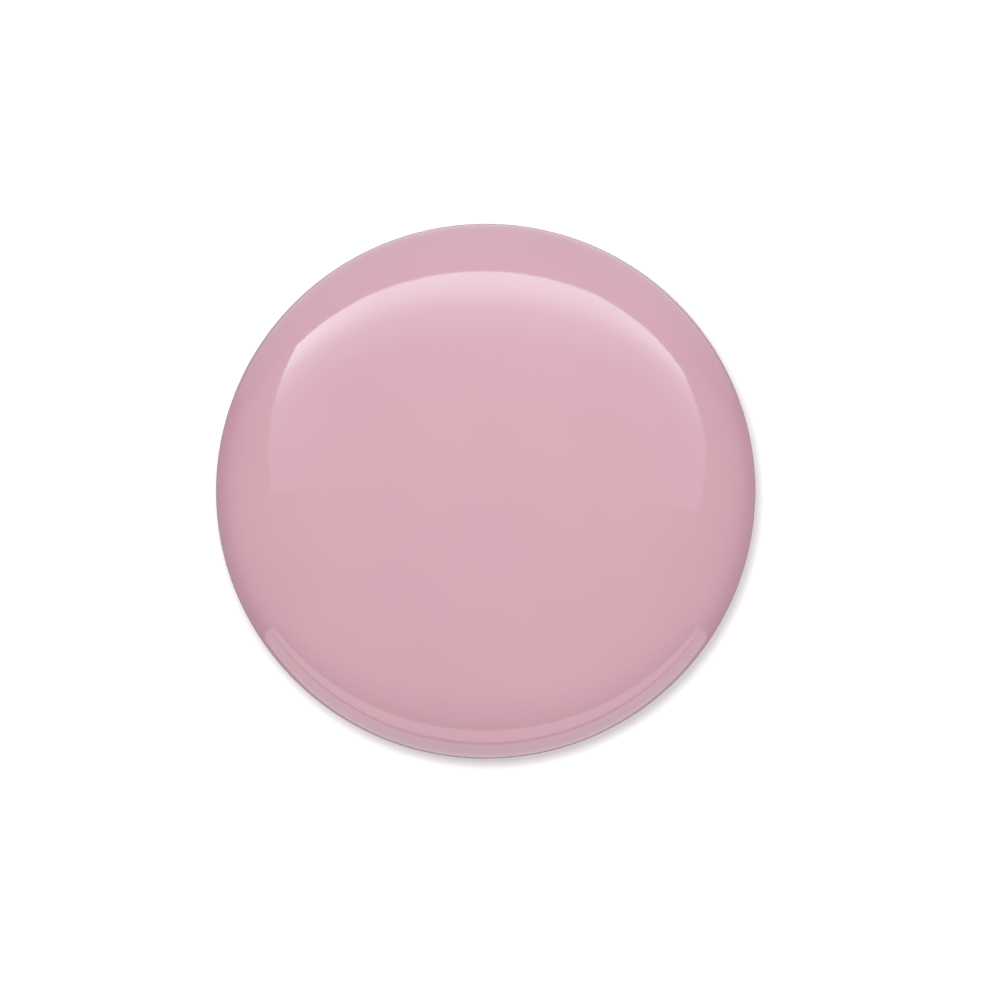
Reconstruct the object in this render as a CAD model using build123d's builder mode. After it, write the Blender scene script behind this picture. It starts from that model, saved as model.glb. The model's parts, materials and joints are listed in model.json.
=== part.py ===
"""Round clamshell pill splitter.

A domed lid hinges at the back of a shallow bowl. The lid carries a stainless blade with a
sprung guard round it, and the bowl carries a tray with a V-shaped pill rest between two
storage wells. A push latch at the front holds the lid shut.

Frame: millimetres, +Z up, +Y towards the hinge, -Y towards the latch, +X to the right when
seen from the latch side. The origin is on the table under the middle of the case.
"""
from build123d import *
import os
from math import cos, radians, sin

# ---------------------------------------------------------------- driving dimensions (mm)
# case
lid_radius = 37.0
base_radius = 36.2      # hidden under the lid's edge from straight above
case_height = 24.0
rim_z = 12.3            # top edge of the bowl
lid_gap = 0.2           # between the two rims
lid_rim_height = 0.6    # upright edge of the lid, below its elliptical dome
lid_edge_round = 0.4
wall = 1.8
floor_z = 0.8           # underside of the bowl, clear of the table
foot_radius = 3.0
foot_seat_z = 2.0       # top of the pockets that hold the feet
foot_gap = 0.05         # round each foot in its pocket
foot_round = 0.5
foot_x = 19.0
foot_y = 17.0
edge_round = 0.35       # upper edges of the tray and of the pill grips

# bowl profile: a flat floor that turns up in a quarter ellipse
flat_radius = 29.0
turn_z = 9.5            # height where the bowl's wall becomes vertical

# hinge
hinge_y = 33.2
hinge_z = 10.3
knuckle_radius = 2.0
pin_radius = 0.8
running_gap = 0.05      # radial, pin in the lid's knuckle
knuckle_half = 4.9      # lid knuckle, half its length
ear_inner = 5.1         # base knuckles run from here ...
ear_outer = 10.3        # ... to here, each side
pocket_radius = 5.4     # room for the lid's back edge to swing down
pocket_wall = 1.2
pocket_half = 16.5
pin_chamfer = 0.2
arm_front_rise = 4.8    # the lid knuckle's arm, from the lid's rim up its front ...
arm_back_rise = 2.4     # ... and its back

# tray
deck_top_z = 11.2
deck_thickness = 1.2
deck_radius = 34.2
trough_half_width = 11.0
trough_front_y = -22.0
trough_back_y = 16.0
trough_floor_z = 4.4
trough_corner = 2.0
tray_wall = 1.2
well_inner_x = 13.4
well_radius = 29.3
well_half_length = 15.0
well_floor_z = 4.2
well_floor_round = 1.8  # so that a fingertip sweeps tablets out
well_floor_thickness = 1.0
well_rim_wall = 1.0
well_corner = 3.0
screw_posts = [(-13.5, -22.8), (13.5, -22.8), (-14.5, 20.6), (14.5, 20.6)]
screw_radius = 0.9
screw_clearance = 0.1
screw_head_radius = 1.7
recess_half_width = 0.2     # arms of the cross recess in a screw's head
recess_floor = 0.6
post_radius = 2.4
post_hole_top_z = 8.2
deck_screw_top_z = 7.6
deck_recess_half = 1.0
deck_head_sink = 0.1        # the heads lie this far inside their counterbores
counterbore_radius = 1.8
counterbore_depth = 1.0

# pill rest
bed_top_z = 6.5
fit_gap = 0.1           # round loose moulded inserts
anvil_top_z = 5.2
anvil_half_width = 1.5
anvil_front_y = -16.0
anvil_back_y = 15.4
blade_slot_half = 0.6
grip_top_z = 12.0
grip_thickness = 2.2
grip_length = 14.5
grip_half_angle = 30.0  # between each arm of the V and the blade
grip_start = (1.2, 9.0)
grip_corner = 0.5

# blade and what holds it
blade_half_length = 14.0
blade_edge_z = 5.6
blade_top_z = 18.6
blade_thickness = 0.3
bevel_height = 1.6
edge_half_width = 0.02
holder_half_width = 2.0
holder_half_length = 14.3
holder_bottom_z = 13.3
holder_top_z = 19.6
clamp_screw_y = 8.0
clamp_screw_z = 16.5
clamp_screw_radius = 0.8
clamp_head_radius = 1.5
clamp_head_depth = 0.8
clamp_screw_end_x = 1.7
clamp_hole_end_x = 1.8
clamp_slot_depth = 0.4
clamp_slot_half = 1.0
blade_room_end = 0.2        # how far inside the holder's ends the blade's room stops
clamp_end_gap = 0.1         # between the clamp plate and the ends of that room
spring_seat_y = 17.3
seat_radius = 3.0
seat_bottom_z = 14.6
seat_bore_radius = 1.9
seat_bore_top_z = 18.8
flange_bottom_z = 17.6
flange_top_z = 19.0
flange_half_width = 9.0
flange_length = 5.6
flange_corner = 2.4
flange_shift = 0.2
holder_screw_x = 6.5
holder_screw_top_z = 20.9
holder_head_depth = 1.1
holder_head_round = 0.3
holder_recess_half = 0.9
lid_post_radius = 2.2
lid_post_top_z = 21.4
lid_post_hole_top_z = 21.2

# sliding guard, retracted
guard_bottom_z = 12.3
guard_plate = 0.8
guard_inner_half = 2.2
guard_wall = 0.8
guard_half_length = 13.8
guard_wall_top_z = 20.9
guard_slot_half = 0.45
guard_tab_half = 3.0
guard_tab_top_z = 21.8
guard_hook = 0.6        # how far the hooks at the tabs' tops reach inwards
guard_hook_height = 0.6
hook_groove_depth = 0.7
hook_groove_bottom_z = 14.2
guard_pad_radius = 2.8
guard_neck_half = 2.2       # half width of the plate between the walls and each pad
guard_slot_end = 0.7        # how far the slot runs on past the blade
spigot_radius = 1.0
spigot_top_z = 14.8

# springs
guard_spring_radius = 1.45
guard_spring_wire = 0.18
guard_spring_turns = 8
latch_spring_radius = 1.2
latch_spring_wire = 0.15
latch_spring_turns = 5
end_gap = 0.02              # a spring's end stands this far off its seat

# lid liner
liner_bottom_z = 13.4
liner_thickness = 1.2
liner_window_half_x = 9.8
liner_window_half_y = 21.4
liner_window_corner = 3.0
liner_fit = 0.03            # between the liner's edge and the dome's inner wall

# latch
tongue_half = 3.0
tongue_front_y = -33.4
tongue_back_y = -32.2
tongue_bottom_z = 7.8
tongue_top_z = 16.0
nose_root = 0.2             # how deep the nose starts inside the tongue
nose_tip_start = 0.3        # the nose's lower face, before its ramp
nose_ramp_height = 0.6
nose_reach = 1.0
nose_height = 1.0
tongue_side_gap = 0.5
tongue_back_gap = 0.4
window_depth = 3.0          # how deep the button's window is cut in from the bowl's wall
button_half = 4.8
button_bottom_z = 5.2
button_top_z = 9.4
button_proud = 0.2
button_corner = 1.2
button_back_y = -34.8
slide_gap = 0.2
slide_inner_half = 3.4
slide_outer_half = 4.6
slide_bottom_z = 7.6
slide_top_z = 9.75
slide_arm_top_z = 8.9
slide_bar_front_y = -30.4
slide_bar_back_y = -29.2
slide_lip_front_y = -32.0
slide_lip_bottom_z = 8.95
slide_foot_z = 5.6
slide_foot_inset = 0.2
slide_ear_half = 6.4
slide_ear_front_y = -33.3
slide_ear_back_y = -32.5
spring_wall_front_y = -25.6
spring_wall_back_y = -24.6
rail_front_y = -31.0
rail_top_z = 7.4
latch_spring_z = 7.4

# ------------------------------------------------------------------------ derived values
lid_rim_z = rim_z + lid_gap
spring_line_z = lid_rim_z + lid_rim_height
outer_rise = case_height - spring_line_z
inner_rise = outer_rise - wall
lid_inner_radius = lid_radius - wall
base_inner_radius = base_radius - wall
floor_top_z = floor_z + wall
counterbore_top_z = floor_z + counterbore_depth
turn_radius = base_radius - flat_radius
turn_height = turn_z - floor_z
deck_bottom_z = deck_top_z - deck_thickness
deck_edge_length = 6 * deck_radius   # only the tray's round outer edge is longer
liner_radius = lid_inner_radius - liner_fit
trough_length = trough_back_y - trough_front_y
trough_mid_y = (trough_back_y + trough_front_y) / 2
guard_plate_top_z = guard_bottom_z + guard_plate
half_blade = blade_thickness / 2
blade_room_half = holder_half_length - blade_room_end
clamp_head_middle_x = -holder_half_width + clamp_head_depth / 2
dome_spans = 8          # spans of the dome's section curve
overcut = 0.5           # how far cutting shapes run past the faces that they open
parts_folder = "parts"

os.makedirs(parts_folder, exist_ok=True)


def save(builder, name):
    """Label a finished piece and write it as its own file."""
    builder.part.label = name
    export_step(builder.part, parts_folder + "/" + name + ".step")


def block(x0, x1, y0, y1, z0, z1, mode=Mode.ADD):
    """A box between two corners, in the sub-part that is being made."""
    with Locations(((x0 + x1) / 2, (y0 + y1) / 2, (z0 + z1) / 2)):
        Box(x1 - x0, y1 - y0, z1 - z0, mode=mode)


def rod(points, radius, z0, z1, mode=Mode.ADD):
    """Upright round rods or holes at each (x, y)."""
    with Locations(*[(x, y, z0) for x, y in points]):
        Cylinder(radius, z1 - z0, align=(Align.CENTER, Align.CENTER, Align.MIN), mode=mode)


def rod_along_x(y, z, radius, x0, x1, mode=Mode.ADD):
    """A round rod or hole along X."""
    with Locations(((x0 + x1) / 2, y, z)):
        Cylinder(radius, x1 - x0, rotation=(0, 90, 0), mode=mode)


def cross_recess(points, half, z0, z1):
    """Cross-shaped driver recesses, cut into the screw heads that are being made."""
    for x, y in points:
        block(
            x - half, x + half, y - recess_half_width, y + recess_half_width, z0, z1, Mode.SUBTRACT,
        )
        block(
            x - recess_half_width, x + recess_half_width, y - half, y + half, z0, z1, Mode.SUBTRACT,
        )


def dome_points(radius, rise):
    """Points on a quarter ellipse from the top of a dome down to its spring line."""
    turns = [radians(90 * i / dome_spans) for i in range(dome_spans + 1)]
    return [(radius * sin(turn), spring_line_z + rise * cos(turn)) for turn in turns]


def coil(radius, wire, turns, start, end):
    """An open helical spring between two points on its axis."""
    origin = Vector(*start)
    direction = Vector(*end) - origin
    free = direction.length - 2 * (wire + end_gap)
    first = origin + direction.normalized() * (wire + end_gap)
    path = Helix(free / turns, free, radius, center=first, direction=direction, mode=Mode.PRIVATE)
    return path


# --------------------------------------------------------------------------------- bowl
with BuildPart() as base_envelope:
    with BuildSketch(Plane.XZ):
        with BuildLine():
            Line((0, rim_z), (0, floor_z))
            Line((0, floor_z), (flat_radius, floor_z))
            EllipticalCenterArc(
                (flat_radius, turn_z), turn_radius, turn_height, start_angle=-90, arc_size=90,
            )
            Line((base_radius, turn_z), (base_radius, rim_z))
            Line((base_radius, rim_z), (0, rim_z))
        make_face()
    revolve(axis=Axis.Z)

with BuildPart() as pocket_shell:
    outer_half = pocket_half + pocket_wall
    rod_along_x(hinge_y, hinge_z, pocket_radius + pocket_wall, -outer_half, outer_half)
    add(base_envelope.part, mode=Mode.INTERSECT)

foot_places = [(-foot_x, -foot_y), (foot_x, -foot_y), (-foot_x, foot_y), (foot_x, foot_y)]

with BuildPart() as base_shell:
    # the bowl's wall and floor
    with BuildSketch(Plane.XZ):
        with BuildLine():
            Line((0, floor_top_z), (0, floor_z))
            Line((0, floor_z), (flat_radius, floor_z))
            EllipticalCenterArc(
                (flat_radius, turn_z), turn_radius, turn_height, start_angle=-90, arc_size=90,
            )
            Line((base_radius, turn_z), (base_radius, rim_z))
            Line((base_radius, rim_z), (base_inner_radius, rim_z))
            Line((base_inner_radius, rim_z), (base_inner_radius, turn_z))
            EllipticalCenterArc(
                (flat_radius, turn_z), turn_radius - wall, turn_height - wall,
                start_angle=-90, arc_size=90,
            )
            Line((flat_radius, floor_top_z), (0, floor_top_z))
        make_face()
    revolve(axis=Axis.Z)
    # the pocket at the back where the lid's edge swings down
    add(pocket_shell.part)
    rod_along_x(hinge_y, hinge_z, pocket_radius, -pocket_half, pocket_half, Mode.SUBTRACT)
    # two hinge ears on webs from the pocket's wall
    web_front_y = hinge_y - pocket_radius - pocket_wall / 2
    for side in (-1, 1):
        x0 = min(side * ear_inner, side * ear_outer)
        x1 = max(side * ear_inner, side * ear_outer)
        rod_along_x(hinge_y, hinge_z, knuckle_radius, x0, x1)
        block(x0, x1, web_front_y, hinge_y, hinge_z - knuckle_radius, rim_z)
    rod_along_x(hinge_y, hinge_z, pin_radius, -ear_outer - overcut, ear_outer + overcut, Mode.SUBTRACT)
    # the latch's window, rails and spring stop
    with BuildSketch(Plane.XZ.offset(base_inner_radius - window_depth)):
        with Locations((0, (button_bottom_z + button_top_z) / 2)):
            RectangleRounded(
                2 * (button_half + slide_gap), button_top_z - button_bottom_z + 2 * slide_gap,
                button_corner + slide_gap,
            )
    extrude(amount=wall + window_depth + overcut, mode=Mode.SUBTRACT)
    for side in (-1, 1):
        x0 = min(side * slide_outer_half, side * slide_ear_half)
        x1 = max(side * slide_outer_half, side * slide_ear_half)
        block(x0, x1, rail_front_y, spring_wall_back_y, floor_top_z - overcut, rail_top_z)
    block(
        -slide_outer_half, slide_outer_half, spring_wall_front_y, spring_wall_back_y,
        floor_top_z - overcut, deck_bottom_z - slide_gap,
    )
    # seats for the feet and holes for the screws
    rod(foot_places, foot_radius + foot_gap, floor_z - overcut, foot_seat_z, Mode.SUBTRACT)
    rod(screw_posts, counterbore_radius, floor_z - overcut, counterbore_top_z, Mode.SUBTRACT)
    rod(screw_posts, screw_radius + screw_clearance, floor_z, floor_top_z + overcut, Mode.SUBTRACT)
save(base_shell, "base_shell")

# --------------------------------------------------------------------------------- feet
foot_names = ["foot_front_left", "foot_front_right", "foot_rear_left", "foot_rear_right"]
for foot_name, place in zip(foot_names, foot_places):
    with BuildPart() as foot:
        rod([place], foot_radius, 0, foot_seat_z)
        fillet(foot.edges().group_by(Axis.Z)[0], foot_round)
    save(foot, foot_name)

# ---------------------------------------------------------------------------- hinge pin
with BuildPart() as hinge_pin:
    rod_along_x(hinge_y, hinge_z, pin_radius, -ear_outer, ear_outer)
    chamfer(hinge_pin.edges().filter_by(GeomType.CIRCLE), pin_chamfer)
save(hinge_pin, "hinge_pin")


# --------------------------------------------------------------------------------- tray
def well_outline(side, grow):
    """A D-shaped well: straight towards the middle, round towards the rim."""
    inner_x = well_inner_x - grow
    half_length = well_half_length + grow
    with BuildSketch(Plane.XY.offset(well_floor_z - (well_floor_thickness if grow else 0))) as outline:
        Circle(well_radius + (well_rim_wall if grow else 0))
        with Locations((side * (inner_x + well_radius / 2), 0)):
            Rectangle(well_radius, 2 * half_length, mode=Mode.INTERSECT)
        fillet(outline.vertices(), well_corner + grow)
    return outline.sketch


with BuildPart() as base_deck:
    with BuildSketch(Plane.XY.offset(deck_bottom_z)):
        Circle(deck_radius)
    extrude(amount=deck_thickness)
    # trough for the pill rest
    with BuildSketch(Plane.XY.offset(trough_floor_z - tray_wall)):
        with Locations((0, trough_mid_y)):
            RectangleRounded(
                2 * (trough_half_width + tray_wall), trough_length + 2 * tray_wall,
                trough_corner + tray_wall,
            )
    extrude(amount=deck_bottom_z - trough_floor_z + tray_wall)
    # storage wells
    for side in (-1, 1):
        add(well_outline(side, tray_wall))
        extrude(amount=deck_bottom_z - well_floor_z + well_floor_thickness)
    rod(screw_posts, post_radius, floor_top_z, deck_bottom_z)
    with BuildSketch(Plane.XY.offset(trough_floor_z)):
        with Locations((0, trough_mid_y)):
            RectangleRounded(2 * trough_half_width, trough_length, trough_corner)
    extrude(amount=deck_top_z - trough_floor_z + overcut, mode=Mode.SUBTRACT)
    for side in (-1, 1):
        add(well_outline(side, 0.0))
        extrude(amount=deck_top_z - well_floor_z + overcut, mode=Mode.SUBTRACT)
    opening_edges = base_deck.edges().group_by(Axis.Z)[-1].filter_by(lambda e: e.length < deck_edge_length)
    fillet(opening_edges, edge_round)
    well_floors = base_deck.faces().filter_by(Axis.Z).filter_by(
        lambda f: abs(f.center().Z - well_floor_z) < end_gap and f.normal_at().Z > 0
    )
    fillet(well_floors.edges(), well_floor_round)
    rod(screw_posts, screw_radius, floor_top_z - overcut, post_hole_top_z, Mode.SUBTRACT)
    # clear of the hinge pocket at the back and of the lid's tongue at the front
    block(
        -pocket_half - pocket_wall - slide_gap, pocket_half + pocket_wall + slide_gap,
        hinge_y - pocket_radius - pocket_wall - slide_gap, deck_radius + overcut,
        deck_bottom_z - overcut, deck_top_z + overcut, Mode.SUBTRACT,
    )
    block(
        -tongue_half - tongue_side_gap, tongue_half + tongue_side_gap,
        -deck_radius - overcut, tongue_back_y + nose_reach + tongue_back_gap,
        deck_bottom_z - overcut, deck_top_z + overcut, Mode.SUBTRACT,
    )
save(base_deck, "base_deck")

with BuildPart() as deck_screws:
    rod(screw_posts, screw_head_radius, floor_z + deck_head_sink, counterbore_top_z)
    rod(screw_posts, screw_radius, counterbore_top_z, deck_screw_top_z)
    cross_recess(screw_posts, deck_recess_half, floor_z, floor_z + recess_floor)
save(deck_screws, "deck_screws")

# ---------------------------------------------------------------------------- pill rest
with BuildPart() as pill_bed:
    with BuildSketch(Plane.XY.offset(trough_floor_z)):
        with Locations((0, trough_mid_y)):
            RectangleRounded(
                2 * (trough_half_width - fit_gap), trough_length - 2 * fit_gap, trough_corner - fit_gap,
            )
    extrude(amount=bed_top_z - trough_floor_z)
    block(
        -anvil_half_width, anvil_half_width, anvil_front_y, anvil_back_y,
        trough_floor_z - overcut, anvil_top_z, Mode.SUBTRACT,
    )
    block(
        -blade_slot_half, blade_slot_half, anvil_front_y, anvil_back_y,
        anvil_top_z - overcut, bed_top_z + overcut, Mode.SUBTRACT,
    )
save(pill_bed, "pill_bed")

with BuildPart() as anvil_strip:
    block(
        -anvil_half_width, anvil_half_width, anvil_front_y, anvil_back_y,
        trough_floor_z, anvil_top_z,
    )
save(anvil_strip, "anvil_strip")

lean = radians(grip_half_angle)
for side, grip_name in ((-1, "pill_grip_left"), (1, "pill_grip_right")):
    start = Vector(side * grip_start[0], grip_start[1])
    end = start + Vector(side * sin(lean), -cos(lean)) * grip_length
    outward = Vector(side * cos(lean), sin(lean)) * grip_thickness
    with BuildPart() as grip:
        with BuildSketch(Plane.XY.offset(bed_top_z)) as grip_outline:
            with BuildLine():
                Polyline(start, end, end + outward, start + outward, close=True)
            make_face()
            fillet(grip_outline.vertices(), grip_corner)
        extrude(amount=grip_top_z - bed_top_z)
        fillet(grip.edges().group_by(Axis.Z)[-1], edge_round)
    save(grip, grip_name)

# ---------------------------------------------------------------------------------- lid
lid_screws = [
    (x, y) for x in (-holder_screw_x, holder_screw_x) for y in (-spring_seat_y, spring_seat_y)
]

with BuildPart() as lid_cover:
    with BuildSketch(Plane.XZ) as lid_section:
        with BuildLine():
            Spline(*dome_points(lid_radius, outer_rise), tangents=((1, 0), (0, -1)))
            Line((0, case_height), (0, case_height - wall))
            Spline(*dome_points(lid_inner_radius, inner_rise), tangents=((1, 0), (0, -1)))
            Line((lid_inner_radius, spring_line_z), (lid_inner_radius, lid_rim_z))
            Line((lid_inner_radius, lid_rim_z), (lid_radius, lid_rim_z))
            Line((lid_radius, lid_rim_z), (lid_radius, spring_line_z))
        make_face()
        fillet(lid_section.vertices().group_by(Axis.X)[-1].sort_by(Axis.Y)[0], lid_edge_round)
    revolve(axis=Axis.Z)
    # hinge knuckle on an arm that runs up into the dome
    with BuildSketch(Plane.YZ.offset(-knuckle_half)):
        with BuildLine():
            Polyline(
                (hinge_y - knuckle_radius, hinge_z),
                (hinge_y + knuckle_radius, hinge_z),
                (hinge_y + knuckle_radius, lid_rim_z + arm_back_rise),
                (hinge_y - knuckle_radius, lid_rim_z + arm_front_rise),
                close=True,
            )
        make_face()
        with Locations((hinge_y, hinge_z)):
            Circle(knuckle_radius)
    extrude(amount=2 * knuckle_half)
    rod_along_x(
        hinge_y, hinge_z, pin_radius + running_gap,
        -knuckle_half - overcut, knuckle_half + overcut, Mode.SUBTRACT,
    )
    # posts for the blade holder's screws
    rod(lid_screws, lid_post_radius, flange_top_z, lid_post_top_z)
    rod(lid_screws, screw_radius, flange_top_z - overcut, lid_post_hole_top_z, Mode.SUBTRACT)
    # latch tongue with its hooked nose
    block(-tongue_half, tongue_half, tongue_front_y, tongue_back_y, tongue_bottom_z, tongue_top_z)
    with BuildSketch(Plane.YZ.offset(-tongue_half)):
        with BuildLine():
            Polyline(
                (tongue_back_y - nose_root, tongue_bottom_z),
                (tongue_back_y + nose_tip_start, tongue_bottom_z),
                (tongue_back_y + nose_reach, tongue_bottom_z + nose_ramp_height),
                (tongue_back_y + nose_reach, tongue_bottom_z + nose_height),
                (tongue_back_y - nose_root, tongue_bottom_z + nose_height),
                close=True,
            )
        make_face()
    extrude(amount=2 * tongue_half)
save(lid_cover, "lid_cover")

with BuildPart() as lid_liner:
    # a plate that just fits the dome's inner wall
    with BuildSketch(Plane.XZ):
        with BuildLine():
            Spline(*dome_points(liner_radius, inner_rise), tangents=((1, 0), (0, -1)))
            Line((0, case_height - wall), (0, spring_line_z))
            Line((0, spring_line_z), (liner_radius, spring_line_z))
        make_face()
    revolve(axis=Axis.Z)
    block(
        -lid_radius, lid_radius, -lid_radius, lid_radius,
        liner_bottom_z, liner_bottom_z + liner_thickness, Mode.INTERSECT,
    )
    with BuildSketch(Plane.XY.offset(liner_bottom_z - overcut)):
        RectangleRounded(2 * liner_window_half_x, 2 * liner_window_half_y, liner_window_corner)
    extrude(amount=liner_thickness + 2 * overcut, mode=Mode.SUBTRACT)
    block(
        -knuckle_half - slide_gap, knuckle_half + slide_gap,
        hinge_y - knuckle_radius - slide_gap, lid_radius, 0, case_height, Mode.SUBTRACT,
    )
    block(
        -tongue_half - slide_gap, tongue_half + slide_gap,
        -lid_radius, tongue_back_y + nose_reach + slide_gap, 0, case_height, Mode.SUBTRACT,
    )
save(lid_liner, "lid_liner")


# ------------------------------------------------------------------- blade and holder
def guard_hook_groove():
    """Grooves down both flanks where the guard's hooks slide, closed at the bottom."""
    for side in (-1, 1):
        groove_x = side * (holder_half_width - hook_groove_depth)
        open_x = side * (holder_half_width + overcut)
        block(
            min(groove_x, open_x), max(groove_x, open_x),
            -guard_tab_half - slide_gap, guard_tab_half + slide_gap,
            hook_groove_bottom_z, holder_top_z + overcut, Mode.SUBTRACT,
        )


with BuildPart() as blade_holder:
    block(
        -holder_half_width, holder_half_width, -holder_half_length, holder_half_length,
        holder_bottom_z, holder_top_z,
    )
    block(
        -holder_half_width, holder_half_width, -spring_seat_y, spring_seat_y,
        seat_bottom_z, holder_top_z,
    )
    # spring seats and screw flanges at both ends
    seats = [(0, -spring_seat_y), (0, spring_seat_y)]
    rod(seats, seat_radius, seat_bottom_z, holder_top_z)
    for side in (-1, 1):
        with BuildSketch(Plane.XY.offset(flange_bottom_z)):
            with Locations((0, side * (spring_seat_y + flange_shift))):
                RectangleRounded(2 * flange_half_width, flange_length, flange_corner)
        extrude(amount=flange_top_z - flange_bottom_z)
    rod(
        lid_screws, screw_radius + screw_clearance,
        flange_bottom_z - overcut, flange_top_z + overcut, Mode.SUBTRACT,
    )
    rod(seats, seat_bore_radius, seat_bottom_z - overcut, seat_bore_top_z, Mode.SUBTRACT)
    # room for the blade and its clamp plate
    block(
        -holder_half_width - overcut, half_blade, -blade_room_half, blade_room_half,
        holder_bottom_z - overcut, blade_top_z, Mode.SUBTRACT,
    )
    for y in (-clamp_screw_y, clamp_screw_y):
        rod_along_x(y, clamp_screw_z, clamp_screw_radius, 0, clamp_hole_end_x, Mode.SUBTRACT)
    guard_hook_groove()
save(blade_holder, "blade_holder")

with BuildPart() as blade_clamp_plate:
    block(
        -holder_half_width, -half_blade, -blade_room_half + clamp_end_gap, blade_room_half - clamp_end_gap,
        holder_bottom_z, blade_top_z,
    )
    for y in (-clamp_screw_y, clamp_screw_y):
        rod_along_x(
            y, clamp_screw_z, clamp_screw_radius,
            -holder_half_width - overcut, half_blade, Mode.SUBTRACT,
        )
        with Locations(Location((clamp_head_middle_x, y, clamp_screw_z), (0, 90, 0))):
            Cone(clamp_head_radius, clamp_screw_radius, clamp_head_depth, mode=Mode.SUBTRACT)
    guard_hook_groove()
save(blade_clamp_plate, "blade_clamp_plate")

with BuildPart() as blade_clamp_screws:
    for y in (-clamp_screw_y, clamp_screw_y):
        rod_along_x(
            y, clamp_screw_z, clamp_screw_radius,
            -holder_half_width + clamp_head_depth, clamp_screw_end_x,
        )
        with Locations(Location((clamp_head_middle_x, y, clamp_screw_z), (0, 90, 0))):
            Cone(clamp_head_radius, clamp_screw_radius, clamp_head_depth)
        block(
            -holder_half_width - overcut, -holder_half_width + clamp_slot_depth,
            y - clamp_slot_half, y + clamp_slot_half,
            clamp_screw_z - recess_half_width, clamp_screw_z + recess_half_width, Mode.SUBTRACT,
        )
save(blade_clamp_screws, "blade_clamp_screws")

with BuildPart() as cutting_blade:
    with BuildSketch(Plane.XZ.offset(-blade_half_length)):
        with BuildLine():
            Polyline(
                (-edge_half_width, blade_edge_z),
                (edge_half_width, blade_edge_z),
                (half_blade, blade_edge_z + bevel_height),
                (half_blade, blade_top_z),
                (-half_blade, blade_top_z),
                (-half_blade, blade_edge_z + bevel_height),
                close=True,
            )
        make_face()
    extrude(amount=2 * blade_half_length)
    for y in (-clamp_screw_y, clamp_screw_y):
        rod_along_x(y, clamp_screw_z, clamp_screw_radius, -blade_thickness, blade_thickness, Mode.SUBTRACT)
save(cutting_blade, "cutting_blade")

with BuildPart() as holder_screws:
    head_bottom_z = flange_bottom_z - holder_head_depth
    rod(lid_screws, screw_head_radius, head_bottom_z, flange_bottom_z)
    fillet(holder_screws.edges().group_by(Axis.Z)[0], holder_head_round)
    rod(lid_screws, screw_radius, flange_bottom_z, holder_screw_top_z)
    cross_recess(lid_screws, holder_recess_half, head_bottom_z - overcut, head_bottom_z + recess_floor)
save(holder_screws, "holder_screws")

# ------------------------------------------------------------------------ blade guard
guard_outer_half = guard_inner_half + guard_wall

with BuildPart() as blade_guard:
    # bottom plate with a pad under each spring
    block(
        -guard_outer_half, guard_outer_half, -guard_half_length, guard_half_length,
        guard_bottom_z, guard_plate_top_z,
    )
    rod(seats, guard_pad_radius, guard_bottom_z, guard_plate_top_z)
    block(
        -guard_neck_half, guard_neck_half, -spring_seat_y, spring_seat_y,
        guard_bottom_z, guard_plate_top_z,
    )
    # side walls, each with a tab and hook at the middle
    for side in (-1, 1):
        x0 = min(side * guard_inner_half, side * guard_outer_half)
        x1 = max(side * guard_inner_half, side * guard_outer_half)
        block(x0, x1, -guard_half_length, guard_half_length, guard_plate_top_z, guard_wall_top_z)
        block(x0, x1, -guard_tab_half, guard_tab_half, guard_wall_top_z, guard_tab_top_z)
        hook_x = side * (guard_inner_half - guard_hook)
        block(
            min(hook_x, side * guard_inner_half), max(hook_x, side * guard_inner_half),
            -guard_tab_half, guard_tab_half, guard_tab_top_z - guard_hook_height, guard_tab_top_z,
        )
    rod(seats, spigot_radius, guard_plate_top_z, spigot_top_z)
    block(
        -guard_slot_half, guard_slot_half, -blade_half_length - guard_slot_end,
        blade_half_length + guard_slot_end,
        guard_bottom_z - overcut, guard_plate_top_z + overcut, Mode.SUBTRACT,
    )
save(blade_guard, "blade_guard")

# ---------------------------------------------------------------------------- springs
spring_places = {
    "guard_spring_front": (
        guard_spring_radius, guard_spring_wire, guard_spring_turns,
        (0, -spring_seat_y, guard_plate_top_z), (0, -spring_seat_y, seat_bore_top_z),
    ),
    "guard_spring_rear": (
        guard_spring_radius, guard_spring_wire, guard_spring_turns,
        (0, spring_seat_y, guard_plate_top_z), (0, spring_seat_y, seat_bore_top_z),
    ),
    "latch_spring": (
        latch_spring_radius, latch_spring_wire, latch_spring_turns,
        (0, slide_bar_back_y, latch_spring_z), (0, spring_wall_front_y, latch_spring_z),
    ),
}
for spring_name, (radius, wire, turns, low_end, high_end) in spring_places.items():
    spring_path = coil(radius, wire, turns, low_end, high_end)
    with BuildPart() as spring:
        with BuildSketch(Plane(origin=spring_path @ 0, z_dir=spring_path % 0)):
            Circle(wire)
        sweep(path=spring_path, is_frenet=True)
    save(spring, spring_name)

# ------------------------------------------------------------------------------ latch
with BuildPart() as latch_button:
    # a slice of the bowl's own outer surface, standing slightly proud
    with BuildSketch(Plane.XZ):
        with BuildLine():
            Line((0, rim_z), (0, floor_z))
            Line((0, floor_z), (flat_radius, floor_z))
            Line((flat_radius, floor_z), (flat_radius, turn_z - turn_height - button_proud))
            EllipticalCenterArc(
                (flat_radius, turn_z), turn_radius + button_proud, turn_height + button_proud,
                start_angle=-90, arc_size=90,
            )
            Line((base_radius + button_proud, turn_z), (base_radius + button_proud, rim_z))
            Line((base_radius + button_proud, rim_z), (0, rim_z))
        make_face()
    revolve(axis=Axis.Z)
    with BuildSketch(Plane.XZ.offset(-button_back_y)):
        with Locations((0, (button_bottom_z + button_top_z) / 2)):
            RectangleRounded(2 * button_half, button_top_z - button_bottom_z, button_corner)
    extrude(amount=base_radius + button_proud + overcut + button_back_y, mode=Mode.INTERSECT)
save(latch_button, "latch_button")

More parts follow.
